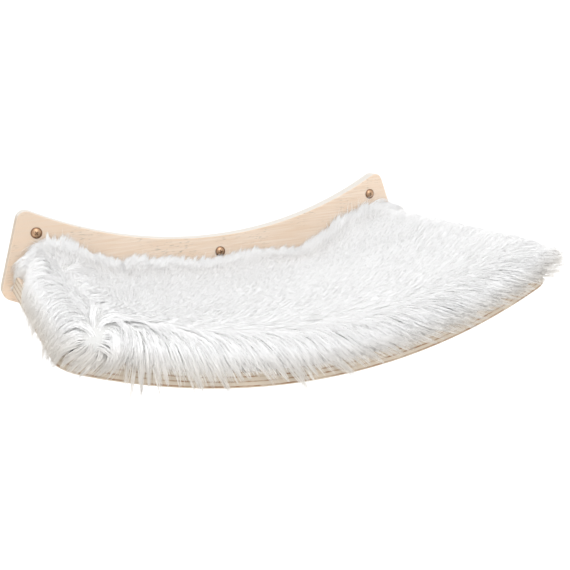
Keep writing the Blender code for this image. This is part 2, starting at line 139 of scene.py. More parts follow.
class PadLooks(bpy.types.PropertyGroup):
    """Sizes and colours of the pad and its pile."""

    body_height: metres("Body height", "Height of the dense underfur over the seat", 0.0295)
    strand_length: metres("Strand length", "Length of a strand past the underfur", 0.034)
    strand_radius: metres("Strand radius", "Radius of a strand, coarser than a real hair", 0.00026)
    lock_spacing: metres("Lock spacing", "Distance from one lock to the next", 0.0085)
    strands: IntProperty(name="Strands", description="Strands of the whole pile", default=92000, min=1000)
    pieces: IntProperty(name="Pieces", description="Pieces that the pile is split into", default=14, min=1)
    seed: IntProperty(name="Seed", description="Seed of the pile's random values", default=11, min=0)
    pile: tint("Pile", "Tips of the long pile", "FDFDFD")
    pile_shade: tint("Pile shade", "Darker strands", "F9F9F9")
    # The underfur's grey is painted shade for the short white hair deep in the pile
    underfur: tint("Underfur", "Dense short hair near the backing", "D0D0CF")
    underfur_shade: tint("Underfur shade", "Shadow between the short hairs", "C8C8C6")
    # Painted shade for the pile that hangs over the seat's edge
    hanging: tint("Hanging pile", "Painted shade on the pile that hangs over the edge", "E6E2DC")
    cloth: tint("Base cloth", "Woven base of the pad", "E9E6E0")
    wadding: tint("Wadding", "Fibre filling", "F4F3F0")
    hook: tint("Hook tape", "Moulded hook tape", "E6E4DF")
    loop: tint("Loop tape", "Napped loop tape", "EFEDE8")


class StageLooks(bpy.types.PropertyGroup):
    """Camera, lights and floor."""

    lens: FloatProperty(
        name="Lens", description="Focal length on a 36 mm sensor", default=50.84, min=1, unit="CAMERA"
    )
    floor_drop: metres("Floor drop", "How far the floor lies below the wall face's middle", 0.75)
    world_strength: FloatProperty(name="World", description="Strength of the even light", default=1.19)
    key_power: FloatProperty(name="Key light", description="Power of the large light", default=17.5)
    glint_power: FloatProperty(name="Glint", description="Power of the light on the screws", default=0.6)
    floor: tint("Floor", "Matt pale floor", "FFFFFF")


def feed(made, inputs):
    """Sets a node's inputs, or links them to a socket or to the first open output of a node."""
    for key, value in inputs.items():
        if isinstance(value, bpy.types.Node):
            value = next(socket for socket in value.outputs if socket.enabled)
        if isinstance(value, bpy.types.NodeSocket):
            made.id_data.links.new(value, made.inputs[key])
        else:
            made.inputs[key].default_value = value


def node(tree, kind, *inputs, **named):
    """Adds a shader node. Inputs come in the order of its open sockets or by name, and other names are its
    settings. Map Range takes a value, the range that it is in, and the range that it goes to."""
    made = tree.nodes.new("ShaderNode" + kind)
    for key in [key for key in named if key not in made.inputs]:
        setattr(made, key, named.pop(key))
    open_inputs = [number for number, socket in enumerate(made.inputs) if socket.enabled]
    feed(made, {**named, **dict(zip(open_inputs, inputs))})
    return made


def new_material(name):
    """A material with a Principled BSDF: (material, what adds a node to it, the shader)."""
    finish = bpy.data.materials.new(name)
    finish.use_nodes = True
    return finish, partial(node, finish.node_tree), finish.node_tree.nodes["Principled BSDF"]


def darkened(colour, share):
    """A colour with its red, green and blue brought down to a share of their values."""
    return (*(channel * share for channel in colour[:3]), 1.0)


def placed(name, data):
    """A new object in the scene."""
    obj = bpy.data.objects.new(name, data)
    bpy.context.scene.collection.objects.link(obj)
    return obj


def dress(start, finish):
    """Gives every CAD node whose name starts like this its material."""
    for name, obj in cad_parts.items():
        if name.startswith(start):
            obj.data.materials.clear()
            obj.data.materials.append(finish)


def add_piece(name, mesh, finish):
    """A new piece of the part that rides on its only body."""
    obj = placed(name, mesh)
    mesh.materials.append(finish)
    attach(obj, "root")
    return obj


def mesh_of(name, bm, smooth=True):
    mesh = bpy.data.meshes.new(name)
    bm.to_mesh(mesh)
    bm.free()
    if smooth:
        mesh.shade_smooth()
    return mesh


def thicken(obj, thickness):
    """Makes a sheet solid, downwards from its face."""
    thick = obj.modifiers.new("thickness", "SOLIDIFY")
    thick.thickness = thickness
    thick.offset = -1.0
    graph = bpy.context.evaluated_depsgraph_get()
    mesh = bpy.data.meshes.new_from_object(obj.evaluated_get(graph))
    sheet = obj.data
    obj.modifiers.clear()
    obj.data = mesh
    bpy.data.meshes.remove(sheet)
    mesh.name = obj.name


def bent(along, height, y):
    """A point over the bent seat: arc length along its top face, height above that face, and y."""
    angle = along / TOP_RADIUS
    radius = TOP_RADIUS - height
    return Vector((radius * math.sin(angle), y, CENTRE_Z - radius * math.cos(angle)))


def past_outline(along, y, corner=SEAT_CORNER):
    """How far a place lies outside the seat's outline, and the way out, as (distance, along, y)."""
    side = 1 if along > 0 else -1
    over_side = abs(along) - (HALF_ARC - corner)
    over_front = (FRONT_Y + corner) - y
    if over_side > 0 and over_front > 0:
        reach = math.hypot(over_side, over_front)
        return reach - corner, side * over_side / reach, -over_front / reach
    if over_side > over_front:
        return over_side - corner, side, 0.0
    return over_front - corner, 0.0, -1.0


def from_bend(add):
    """A place against the middle of the seat's bend: its x, y, and how far down it lies."""
    parts = add("SeparateXYZ", add("TexCoord").outputs["Object"]).outputs
    return parts["X"], parts["Y"], add("Math", CENTRE_Z, parts["Z"], operation="SUBTRACT")


def seat_coordinates(add):
    """Object coordinates unrolled with the seat: along its bend, y, and the depth under its top face."""
    x, y, down = from_bend(add)
    angle = add("Math", x, down, operation="ARCTAN2")
    along = add("Math", angle, TOP_RADIUS, operation="MULTIPLY")
    radius = add("VectorMath", add("CombineXYZ", x, down), operation="LENGTH")
    return along, y, add("Math", radius, TOP_RADIUS, operation="SUBTRACT")


def plate_coordinates(add):
    """Object coordinates of the plate: along it, up it, and the depth behind its face."""
    parts = add("SeparateXYZ", add("TexCoord").outputs["Object"]).outputs
    return parts["X"], parts["Z"], add("Math", parts["Y"], -PLATE_Y, operation="ADD")


def face_veneer(add, looks, board):
    """Birch veneer, rotary cut and sanded: long soft streaks, with short dark flecks thinly spread.

    board is the place in the board. Gives the streaks, from 0 to 1, and the colour.
    """
    streak_size = Vector((1 / looks.grain_length, 1 / looks.grain_width, 1 / looks.grain_width))
    place = add("VectorMath", board, streak_size, operation="MULTIPLY")
    streaks = add("TexNoise", Vector=place, Scale=1.0, Detail=4.0, Roughness=0.6, Distortion=0.4)
    streaks = add("MapRange", streaks, 0.35, 0.65)
    face = add("Mix", streaks, looks.face, looks.face_pale, data_type="RGBA")
    fleck_length = FLECK_ASPECT * looks.pore_width
    fleck_size = Vector((1 / fleck_length, 1 / looks.pore_width, 1 / looks.pore_width))
    place = add("VectorMath", board, fleck_size, operation="MULTIPLY")
    flecks = add("MapRange", add("TexNoise", Vector=place, Scale=1.0, Detail=2.0), 0.60, 0.68, 0.0, 0.95)
    patches = add("MapRange", add("TexNoise", Vector=board, Scale=18.0, Detail=1.0), 0.45, 0.62)
    flecks = add("Math", flecks, patches, operation="MULTIPLY")
    return streaks, add("Mix", flecks, face, looks.fleck, data_type="RGBA")


def end_shaded_veneer(add, looks, along, streaks, face):
    """The plate's veneer with painted shade: greyer towards its ends, and the more so at the left."""
    right, left = (add("MapRange", along, start, end, 0.0, most) for start, end, most in GREYER_ENDS)
    ends = add("Math", left, right, operation="ADD")
    soft = add("MapRange", streaks, 0.0, 1.0, 0.6, 1.0)
    return add("Mix", add("Math", ends, soft, operation="MULTIPLY"), face, looks.painted_end_shade, data_type="RGBA")


def ply_edges(add, looks, board, depth):
    """Plies on a cut edge, where pale long plies and brown end grain take turns: a wave across the thickness,
    broken up along the edge. Gives how dark, from 0 to 1, and the colour."""
    drawn_out = add("VectorMath", board, (0.2, 1.0, 1.0), operation="MULTIPLY")
    broken = add("TexNoise", Vector=drawn_out, Scale=260.0, Detail=3.0, Roughness=0.7)
    middle = add("Math", depth, SEAT_THICKNESS / 2, operation="SUBTRACT")
    waves = add("Math", middle, math.tau / looks.ply_pitch, operation="MULTIPLY")
    dark = add("MapRange", add("Math", waves, operation="COSINE"), -0.2, -0.95)
    faded = add("MapRange", broken, 0.38, 0.62, 0.1, 1.0)
    dark = add("Math", dark, faded, operation="MULTIPLY")
    return dark, add("Mix", dark, looks.long_ply, looks.cross_ply, data_type="RGBA")


def facing_seat(add, normal):
    """How squarely a surface of the seat looks along the spoke from the middle of the bend."""
    x, _, down = from_bend(add)
    spoke = add("CombineXYZ", X=add("Math", x, -1.0, operation="MULTIPLY"), Z=down)
    spoke = add("VectorMath", spoke, operation="NORMALIZE")
    return add("VectorMath", normal, spoke, operation="DOT_PRODUCT")


def plywood(name, looks, is_seat):
    """Birch plywood, sanded and bare: matt pale faces with long soft streaks, and edges with their plies."""
    finish, add, shader = new_material(name)
    along, across, depth = seat_coordinates(add) if is_seat else plate_coordinates(add)
    board = add("CombineXYZ", along, across, depth)
    streaks, face = face_veneer(add, looks, board)
    dark, edge = ply_edges(add, looks, board, depth)
    # Faces and edges are told apart by the way that the surface looks
    normal = add("NewGeometry").outputs["Normal"]
    if is_seat:
        facing = facing_seat(add, normal)
    else:
        # Painted shade towards the plate's ends
        face = end_shaded_veneer(add, looks, along, streaks, face)
        turned = add("SeparateXYZ", normal).outputs
        facing = turned["Y"]
        # Painted light: edges that face up turn pale, as if lit from above
        upward = add("MapRange", turned["Z"], 0.3, 0.6, 0.0, 0.85)
        edge = add("Mix", upward, edge, looks.painted_top_light, data_type="RGBA")
    is_face = add("MapRange", add("Math", facing, operation="ABSOLUTE"), 0.75, 0.9)
    colour = add("Mix", is_face, edge, face, data_type="RGBA")
    # Sanding leaves fine lines along the grain that are felt more than seen
    relief = add("Math", streaks, dark, operation="SUBTRACT")
    bump = add("Bump", Strength=0.25, Distance=0.12 * MM, Height=relief)
    rough = add("MapRange", streaks, 0.0, 1.0, 0.66, 0.56)
    feed(shader, {"Base Color": colour, "Roughness": rough, "Normal": bump})
    return finish


def beech(looks):
    """Beech, turned to dowels: warm and matt, with short darker rays along the grain."""
    finish, add, shader = new_material("beech_turned")
    place = add("TexCoord").outputs["Object"]
    rays = add("VectorMath", place, RAYS_PER_METRE, operation="MULTIPLY")
    rays = add("TexNoise", Vector=rays, Scale=1.0, Detail=2.0)
    colour = add("Mix", rays, looks.beech, darkened(looks.beech, 0.62), data_type="RGBA")
    bump = add("Bump", Strength=0.2, Distance=0.1 * MM, Height=rays)
    feed(shader, {"Base Color": colour, "Roughness": 0.6, "Normal": bump})
    return finish


def antique_brass(looks):
    """Brass plating browned in a bath and rubbed: bright on the crown, dark in the recess and at the rim."""
    finish, add, shader = new_material("brass_browned")
    place = add("TexCoord").outputs["Object"]
    mottling = add("TexNoise", Vector=place, Scale=620.0, Detail=3.0, Roughness=0.6)
    y = add("SeparateXYZ", place).outputs["Y"]
    low = add("MapRange", y, PLATE_Y - CROWN_STANDS, PLATE_Y - RIM_STANDS, 0.0, 0.9)
    spots = add("MapRange", mottling, 0.42, 0.68, 0.0, 0.6)
    patina = add("Math", low, spots, operation="MAXIMUM")
    colour = add("Mix", patina, looks.brass, looks.patina, data_type="RGBA")
    rough = add("MapRange", patina, 0.0, 1.0, 0.15, 0.5)
    feed(shader, {"Base Color": colour, "Roughness": rough, "Metallic": 1.0})
    return finish


def zinc_plating(looks):
    """Zinc-plated steel, clear passivated: pale blue grey with faint spangle."""
    finish, add, shader = new_material("steel_zinc_plated")
    spangle = add("TexVoronoi", Vector=add("TexCoord").outputs["Object"], Scale=900.0)
    colour = add("Mix", spangle, looks.zinc, darkened(looks.zinc, 0.8), data_type="RGBA")
    rough = add("MapRange", spangle, 0.0, 0.7, 0.28, 0.42)
    feed(shader, {"Base Color": colour, "Roughness": rough, "Metallic": 1.0})
    return finish


def tape(name, colour, roughness, pitch):
    """Nylon hook tape, moulded, or loop tape, napped: matt rows of knobs or naps at the real pitch."""
    finish, add, shader = new_material(name)
    along, y, _ = seat_coordinates(add)
    knobs = add("TexVoronoi", Vector=add("CombineXYZ", along, y), Scale=1 / pitch, Randomness=0.35)
    mixed = add("Mix", knobs, colour, darkened(colour, 0.78), data_type="RGBA")
    bump = add("Bump", Strength=0.6, Distance=0.4 * MM, Height=knobs, invert=True)
    feed(shader, {"Base Color": mixed, "Roughness": roughness, "Normal": bump})
    return finish


def woven_cloth(looks):
    """Plain-woven polyester and cotton, unbleached: matt, with crossing threads at 0.6 mm."""
    finish, add, shader = new_material("cloth_plain_woven")
    along, y, _ = seat_coordinates(add)
    to_waves = math.tau / (0.6 * MM)
    warp, weft = (add("Math", way, to_waves, operation="MULTIPLY") for way in (along, y))
    warp, weft = (add("Math", wave, operation="SINE") for wave in (warp, weft))
    weave = add("MapRange", add("Math", warp, weft, operation="MULTIPLY"), -1.0, 1.0)
    colour = add("Mix", weave, looks.cloth, darkened(looks.cloth, 0.82), data_type="RGBA")
    bump = add("Bump", Strength=0.5, Distance=0.15 * MM, Height=weave)
    feed(shader, {"Base Color": colour, "Roughness": 0.9, "Normal": bump})
    return finish


def soft_fibre(name, pale, shade, clump, roughness, sheen, hanging=None):
    """White acrylic or polyester fibre, drawn and crimped: matt, with soft darker clumps of some millimetres.
    Pile that hangs over the seat's edge takes the colour of hanging, a painted shade."""
    finish, add, shader = new_material(name)
    place = add("TexCoord").outputs["Object"]
    clumps = add("TexNoise", Vector=place, Scale=1 / clump, Detail=3.0, Roughness=0.65)
    colour = add("Mix", add("MapRange", clumps, 0.35, 0.68), pale, shade, data_type="RGBA")
    if hanging:
        # Painted shade: the pile hanging over the seat's edge turns greyer
        low = add("MapRange", seat_coordinates(add)[2], HANGING_FROM, HANGING_TO)
        colour = add("Mix", low, colour, hanging, data_type="RGBA")
    feed(shader, {"Base Color": colour, "Roughness": roughness, "Specular IOR Level": 0.1})
    feed(shader, {"Sheen Weight": sheen, "Sheen Roughness": 0.4})
    return finish


# Wall screws: the core's radius, where the thread starts, how far before the tip it ends, half its width as
# a share of the pitch, how deep it is sunk in the core, and its sides in one turn
SCREW_CORE = 0.003
THREAD_START_Y, THREAD_SHORT = 0.0015, 0.0006
THREAD_HALF_WIDTH, THREAD_SUNK, THREAD_SIDES = 0.32, 0.0002, 14

# Length of a screw's point over its core's radius, and how slim the thread gets there
POINT_LENGTH, POINT_BLUNTNESS, POINT_RADIUS = 3.0, 0.04, 0.0002


def helix(name, centre, start_y, end_y, looks):
    """A thread round a shank that points along +Y, from a three-sided profile spun with a rise."""
    pitch, depth = looks.thread_pitch, looks.thread_depth
    turns = (end_y - start_y) / pitch
    bm = bmesh.new()
    inner, half = SCREW_CORE - THREAD_SUNK, THREAD_HALF_WIDTH * pitch
    corners = ((inner, -half), (SCREW_CORE + depth, 0.0), (inner, half))
    ring = [bm.verts.new((centre.x + radius, start_y + rise, centre.z)) for radius, rise in corners]
    loop = [bm.edges.new((ring[i], ring[(i + 1) % 3])) for i in range(3)]
    steps = round(turns * THREAD_SIDES)
    step = (0, (end_y - start_y) / steps, 0)
    spun = {"cent": centre, "axis": (0, 1, 0), "dvec": step, "angle": turns * math.tau, "steps": steps}
    bmesh.ops.spin(bm, geom=ring + loop, use_merge=False, **spun)
    bmesh.ops.holes_fill(bm, edges=bm.edges, sides=3)
    for vert in bm.verts:
        left = (end_y - vert.co.y) / (POINT_LENGTH * SCREW_CORE)
        if left < 1:
            radial = Vector((vert.co.x - centre.x, 0, vert.co.z - centre.z))
            shrink = SCREW_CORE * (1 - max(left, POINT_BLUNTNESS))
            slim = max(radial.length - shrink, POINT_RADIUS) / radial.length
            vert.co.x = centre.x + radial.x * slim
            vert.co.z = centre.z + radial.z * slim
    bmesh.ops.recalc_face_normals(bm, faces=bm.faces)
    return mesh_of(name, bm, smooth=False)


class HAMMOCK_OT_wood(bpy.types.Operator):
    """Gives the wall plate, the seat and the dowels their wood"""

    bl_idname = "hammock.wood"
    bl_label = "Wood"

    def execute(self, context):
        looks = context.scene.hammock_wood
        dress("back_plate", plywood("plywood_plate", looks, is_seat=False))
        dress("seat_board", plywood("plywood_seat", looks, is_seat=True))
        dress("seat_dowel", beech(looks))
        return {"FINISHED"}


class HAMMOCK_OT_screws(bpy.types.Operator):
    """Gives the screws their plating and the wall screws their threads"""

    bl_idname = "hammock.screws"
    bl_label = "Screws"

    def execute(self, context):
        looks = context.scene.hammock_screws
        brass = antique_brass(looks)
        dress("seat_screw", zinc_plating(looks))
        dress("wall_screw", brass)
        for name in sorted(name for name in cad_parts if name.startswith("wall_screw")):
            low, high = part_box(name)
            thread = helix(name + "_thread", (low + high) / 2, THREAD_START_Y, high.y - THREAD_SHORT, looks)
            add_piece(name + "_thread", thread, brass)
        return {"FINISHED"}


class HAMMOCK_OT_patches(bpy.types.Operator):
    """Gives the hook and loop patches their tape"""

    bl_idname = "hammock.patches"
    bl_label = "Hook and loop patches"

    def execute(self, context):
        looks = context.scene.hammock_pad
        dress("hook_patch", tape("nylon_hook_tape", looks.hook, 0.55, 1.6 * MM))
        dress("loop_patch", tape("nylon_loop_tape", looks.loop, 0.95, 0.9 * MM))
        return {"FINISHED"}


# The pad's layers: heights over the seat's top face, and how far in from the seat's outline
CLOTH_TOP, WADDING_BOTTOM, WADDING_TOP = 0.0047, 0.0051, 0.0171
CLOTH_INSET, WADDING_INSET = 0.006, 0.012

# Lumps of the wadding: height, and how far in from the edge they are full
LUMP_HEIGHT, LUMP_FADE = 0.0008, 0.02


def ripple(along, y, per_metre, layer):
    """Smooth random relief over flat places, about from -1 to 1."""
    return noise.noise((along * per_metre, y * per_metre, layer))


def layer_sheet(inset, height, columns, lump_height=0.0):
    """A sheet over the seat, from a grid: set in from the outline, rounded at its front corners."""
    bm = bmesh.new()
    bmesh.ops.create_grid(bm, x_segments=columns, y_segments=columns * 3 // 5, size=1.0)
    back, front = BACK_Y - inset, FRONT_Y + inset
    for vert in bm.verts:
        along = vert.co.x * (HALF_ARC - inset)
        y = back + (front - back) * (vert.co.y + 1) / 2
        past, out_along, out_y = past_outline(along, y)
        over = past + inset
        if over > 0:
            along -= out_along * over
            y -= out_y * over
        inside = min(1.0, max(0.0, -over) / LUMP_FADE)
        lumps = ripple(along, y, per_metre=60, layer=3.1) * lump_height
        vert.co = bent(along, height + lumps * inside, y)
    bmesh.ops.recalc_face_normals(bm, faces=bm.faces)
    return bm


class HAMMOCK_OT_pad_layers(bpy.types.Operator):
    """Makes the pad's woven base and its wadding"""

    bl_idname = "hammock.pad_layers"
    bl_label = "Base cloth and wadding"

    def execute(self, context):
        looks = context.scene.hammock_pad
        bm = layer_sheet(CLOTH_INSET, CLOTH_TOP, columns=60)
        area = sum(face.calc_area() for face in bm.faces)
        cloth = add_piece("base_cloth", mesh_of("base_cloth", bm), woven_cloth(looks))
        thicken(cloth, 0.8 * MM)
        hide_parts("pad_base_cloth")

        bm = layer_sheet(WADDING_INSET, WADDING_TOP - LUMP_HEIGHT, columns=90, lump_height=LUMP_HEIGHT)
        finish = soft_fibre("polyester_wadding", looks.wadding, looks.underfur, 5 * MM, 1.0, 0.2)
        wadding = add_piece("wadding", mesh_of("wadding", bm), finish)
        thicken(wadding, WADDING_TOP - WADDING_BOTTOM - 3 * LUMP_HEIGHT)
        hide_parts("pad_wadding")
        return {"FINISHED"}


# The pile is laid out flat, as (along the seat, y), and its free edges roll down past the seat's outline:
# radius of the roll, and corner of the pile's own outline
ROLL_RADIUS, PILE_CORNER = 0.015, 0.030

# How far the underfur reaches past the outline, laid flat, and past the plate's face, and its depth
BODY_PAST, BODY_UP_PLATE, BODY_DEPTH = 0.021, 0.004, 0.0045

# How far the roll swells past the board, and how much narrower it is at the left by the plate
FRONT_SWELL, LEFT_SWELL, RIGHT_SWELL = 0.0045, 0.0025, 0.0095
NARROWED, NARROWED_REACH = 0.0080, 0.14

# The bank against the plate: its share of the seat's depth, how far under the tips it stays, highest rise
BANK_SHARE, BELOW_CREST, BANK_RISE = 0.3, 0.014, 0.008

# How far the underfur drops to the right, from where and over what length
RIGHT_DROP, DROP_FROM, DROP_REACH = 0.0035, 0.19, 0.07

# Heights of the underfur's broad and fine relief
BROAD_RELIEF, FINE_RELIEF = 0.0014, 0.00012

# How gently the pile turns up at the plate, from how many times that far out, and its gap to the plate
PLATE_TURN, PLATE_TURN_REACH, PLATE_MARGIN = 0.009, 6, 0.0008

# Height of the tips against the plate, from end to end: (along the seat, height over the seat)
CREST = (
    (-0.276, 0.018), (-0.264, 0.032), (-0.254, 0.042), (-0.244, 0.053), (-0.225, 0.060),
    (-0.202, 0.053), (-0.185, 0.048), (-0.139, 0.040), (-0.128, 0.048), (-0.091, 0.045),
    (-0.076, 0.049), (-0.032, 0.043), (0.058, 0.046), (0.091, 0.037), (0.120, 0.030),
    (0.158, 0.037), (0.192, 0.047), (0.256, 0.043), (0.272, 0.032),
)

# The fringe along the front: (along the seat, height of the short tips over the seat, height of the long
# tips, chance of a long bundle, lean along the seat)
FRINGE = (
    (-0.280, -0.014, -0.016, 0.0, -4.0),
    (-0.268, -0.012, -0.014, 0.0, -3.0),
    (-0.256, -0.011, -0.013, 0.0, -2.2),
    (-0.244, -0.009, -0.019, 0.5, -1.3),
    (-0.234, -0.007, -0.028, 1.0, -0.9),
    (-0.222, -0.006, -0.031, 1.0, -0.4),
    (-0.205, -0.006, -0.031, 1.0, 0.10),
    (-0.180, -0.006, -0.029, 1.0, 0.45),
    (-0.140, -0.006, -0.025, 1.0, 0.65),
    (-0.105, -0.005, -0.021, 1.0, 0.70),
    (-0.085, -0.003, -0.016, 1.0, 0.80),
    (-0.074, 0.004, -0.013, 0.6, 0.70),
    (-0.042, 0.004, -0.015, 0.6, 0.60),
    (-0.028, -0.001, -0.022, 1.0, 0.70),
    (-0.008, 0.000, -0.021, 1.0, 0.90),
    (0.012, 0.001, -0.020, 1.0, 1.00),
    (0.060, 0.004, -0.015, 1.0, 1.20),
    (0.150, 0.005, -0.014, 1.0, 1.40),
    (0.280, 0.005, -0.009, 1.0, 1.80),
)


def between(table, along):
    """The values of a table at a place along the seat."""
    for low, high in zip(table, table[1:]):
        if along <= high[0]:
            share = min(max((along - low[0]) / (high[0] - low[0]), 0.0), 1.0)
            return [a + (b - a) * share for a, b in zip(low[1:], high[1:])]
    return list(table[-1][1:])


def eased(share):
    """A share held between 0 and 1, with a soft start and end."""
    share = min(max(share, 0.0), 1.0)
    return share * share * (3 - 2 * share)


def body_height(along, y, looks):
    """The height of the underfur over the seat, away from its rolled edge."""
    depth = (BACK_Y - y) / (BACK_Y - FRONT_Y)
    near_plate = eased(1 - depth / BANK_SHARE)
    level = looks.body_height
    against_plate = min(between(CREST, along)[0] - BELOW_CREST, level + BANK_RISE)
    broad = ripple(along, y, per_metre=20, layer=5.0) * BROAD_RELIEF
    fine = ripple(along, y, per_metre=80, layer=9.0) * FINE_RELIEF
    level -= RIGHT_DROP * eased((along - DROP_FROM) / DROP_REACH)
    return level + (against_plate - level) * near_plate + broad + fine


def laid(along, y, lift, looks):
    """The point of the pile at a flat place: pushed up by the plate, and rolled down past the free edges."""
    behind = y - (PLATE_Y - PLATE_MARGIN)
    if behind > -PLATE_TURN_REACH * PLATE_TURN:
        pushed = PLATE_TURN * math.log1p(math.exp(behind / PLATE_TURN))
        y -= pushed
        lift += pushed
    past, out_along, out_y = past_outline(along, y, PILE_CORNER)
    roll = past + ROLL_RADIUS
    inner = min(max(along, -HALF_ARC), HALF_ARC), max(y, FRONT_Y)
    height = body_height(*inner, looks)
    if roll <= 0:
        return bent(along, height + lift, y)
    turn = min(roll / ROLL_RADIUS, math.pi / 2)
    hanging = max(roll - ROLL_RADIUS * math.pi / 2, 0.0)
    on_end = LEFT_SWELL if out_along < 0 else RIGHT_SWELL
    swell = on_end + (FRONT_SWELL - on_end) * out_y * out_y
    full = 1.0 if out_along >= 0 else eased((PLATE_Y - y) / NARROWED_REACH)
    reach = (ROLL_RADIUS + lift) * math.sin(turn) + swell * turn * full - roll
    reach -= NARROWED * (1 - full) * turn
    height += (ROLL_RADIUS + lift) * math.cos(turn) - ROLL_RADIUS - hanging
    return bent(along + out_along * reach, height, y + out_y * reach)


def body_sheet(looks):
    """The top of the underfur: a crowned sheet whose edge rolls down over the seat's ends and front."""
    bm = bmesh.new()
    bmesh.ops.create_grid(bm, x_segments=110, y_segments=70, size=1.0)
    back, front = PLATE_Y + BODY_UP_PLATE, FRONT_Y - BODY_PAST
    for vert in bm.verts:
        along = vert.co.x * (HALF_ARC + BODY_PAST)
        y = back + (front - back) * (1 - vert.co.y) / 2
        past, out_along, out_y = past_outline(along, y, PILE_CORNER)
        over = max(past - BODY_PAST, 0.0)
        vert.co = laid(along - out_along * over, y - out_y * over, 0.0, looks)
    bmesh.ops.remove_doubles(bm, verts=bm.verts, dist=0.1 * MM)
    bmesh.ops.recalc_face_normals(bm, faces=bm.faces)
    if sum(face.normal.z for face in bm.faces) < 0:
        bmesh.ops.reverse_faces(bm, faces=bm.faces)
    return bm


class HAMMOCK_OT_pile_body(bpy.types.Operator):
    """Makes the dense underfur that the long strands stand in"""

    bl_idname = "hammock.pile_body"
    bl_label = "Underfur"

    def execute(self, context):
        looks = context.scene.hammock_pad
        colours = looks.underfur, looks.underfur_shade
        finish = soft_fibre("acrylic_underfur", *colours, 3 * MM, 0.95, 0.3)
        body = add_piece("pile_underfur", mesh_of("pile_underfur", body_sheet(looks)), finish)
        thicken(body, BODY_DEPTH)
        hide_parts("fur_cover")
        return {"FINISHED"}


# How far in from the front, an end and the plate a place still counts as near it
FRINGE_REACH, END_REACH, PLATE_REACH = 0.024, 0.03, 0.035

# The crown that the pile lies away from, and the far end of the parting that runs from it to the plate
CROWN, PARTING_END = Vector((-0.246, -0.347)), Vector((-0.232, -0.080))

# How far to the right of the parting the pile lies away from it, how near it the pile lies along it instead,
# and how soon past the crown
PARTING_REACH, PARTING_WIDTH, PARTING_START = 0.05, 0.022, 5

# How near the crown, beside it and in front of it, the pile doesn't yet turn down, how near it the pile
# turns in a whorl and by what angle, and the angle of random swirls everywhere
CROWN_REACH, BELOW_CROWN, WHORL_REACH, WHORL_ANGLE, SWIRL_ANGLE = 0.035, 0.008, 0.018, 0.7, 0.4

# How far in from the front the pile starts to turn down, at the left and right, and what length lies
# between, over how many times that distance it turns, and how strongly the right end pulls it out
TURN_FROM_LEFT, TURN_FROM_RIGHT, WIDENING = 0.020, 0.080, 0.14
TURNING_LENGTH, RIGHT_PULL = 1.3, 0.6


def edge_shares(along, y):
    """How near a place is to the front, the left end, the right end and the plate, each from 0 to 1."""
    front = eased(1 + (FRONT_Y - y) / FRINGE_REACH)
    left = eased(1 + (-HALF_ARC - along) / END_REACH)
    right = eased(1 + (along - HALF_ARC) / END_REACH)
    plate = eased(1 - (PLATE_Y - y) / PLATE_REACH)
    return front, left, right, plate


def combing(along, y):
    """The way that the pile lies at a flat place."""
    here = Vector((along, y))
    from_crown = here - CROWN
    run = PARTING_END - CROWN
    share = min(max(from_crown.dot(run) / run.length_squared, 0.0), 1.0)
    aside = here - (CROWN + run * share)
    on_left = run.x * aside.y - run.y * aside.x > 0
    beside = 1.0 if on_left else eased(1 - aside.length / PARTING_REACH)
    spread = eased(aside.length / PARTING_WIDTH)
    fanned = aside.normalized() * spread
    fanned += run.normalized() * (1 - spread) * min(share * PARTING_START, 1.0)
    away = from_crown.normalized() * (1 - beside) + fanned.normalized() * beside
    away.rotate(Matrix.Rotation(ripple(along, y, per_metre=13, layer=21.0) * SWIRL_ANGLE, 2))
    away.rotate(Matrix.Rotation(WHORL_ANGLE * eased(1 - from_crown.length / WHORL_REACH), 2))
    right = edge_shares(along, y)[2]
    across = eased((along + HALF_ARC) / WIDENING)
    reach = TURN_FROM_LEFT + (TURN_FROM_RIGHT - TURN_FROM_LEFT) * across
    off_crown = max(eased(from_crown.length / CROWN_REACH), eased((CROWN.y - y) / BELOW_CROWN))
    turning = eased((FRONT_Y + reach - y) / (TURNING_LENGTH * reach)) * off_crown
    hang = Vector((between(FRINGE, along)[-1], -1.0)).normalized()
    return (away * (1 - turning) + hang * turning + Vector((RIGHT_PULL * right, 0))).normalized()


# Bundles of the fringe: distance to the next, how far past the right end they go on, the share of the long
# tips that each reaches, how far beside its line a lock joins it, its length, and the lowest tip
BUNDLE_SPACING, BUNDLES_PAST, BUNDLE_SHARE = (0.004, 0.010), 0.02, (0.45, 1.05)
BUNDLE_WIDTH, BUNDLE_LENGTH, LONGEST_TIP = 0.0012, 0.085, -0.036

# Step of a lock's line, and the least share of it that the first step and a later one take
WALK_STRIDE, FIRST_STEP, LATER_STEP = 0.008, 0.3, 0.01


def bundle_lines(rng):
    """Where long bundles hang along the front: (along the seat, share of the long tips that it reaches)."""
    lines, along = [], -HALF_ARC
    while along < HALF_ARC + BUNDLES_PAST:
        along += rng.uniform(*BUNDLE_SPACING)
        if rng.random() < between(FRINGE, along)[2]:
            lines.append((along, rng.uniform(*BUNDLE_SHARE)))
    return lines


def walked(start, own_turn, length, limit, top):
    """The flat line of a lock: it follows the combing for its length, or until it is too far past the outline
    or too high against the plate."""
    places, gone = [start.copy()], 0.0
    while gone < length:
        here = places[-1]
        stride = min(WALK_STRIDE, length - gone)
        way = combing(here.x, here.y)
        way.rotate(own_turn)
        ahead = here + way * stride
        past, past_ahead = (past_outline(spot.x, spot.y, PILE_CORNER)[0] for spot in (here, ahead))
        share = 1.0
        if past_ahead > max(limit, past):
            share = (limit - past) / (past_ahead - past)
        if ahead.y > max(top, here.y):
            share = min(share, (top - here.y) / (ahead.y - here.y))
        share = max(share, FIRST_STEP if gone == 0 else LATER_STEP)
        places.append(here.lerp(ahead, share))
        gone += stride
        if share < 1:
            break
    return places


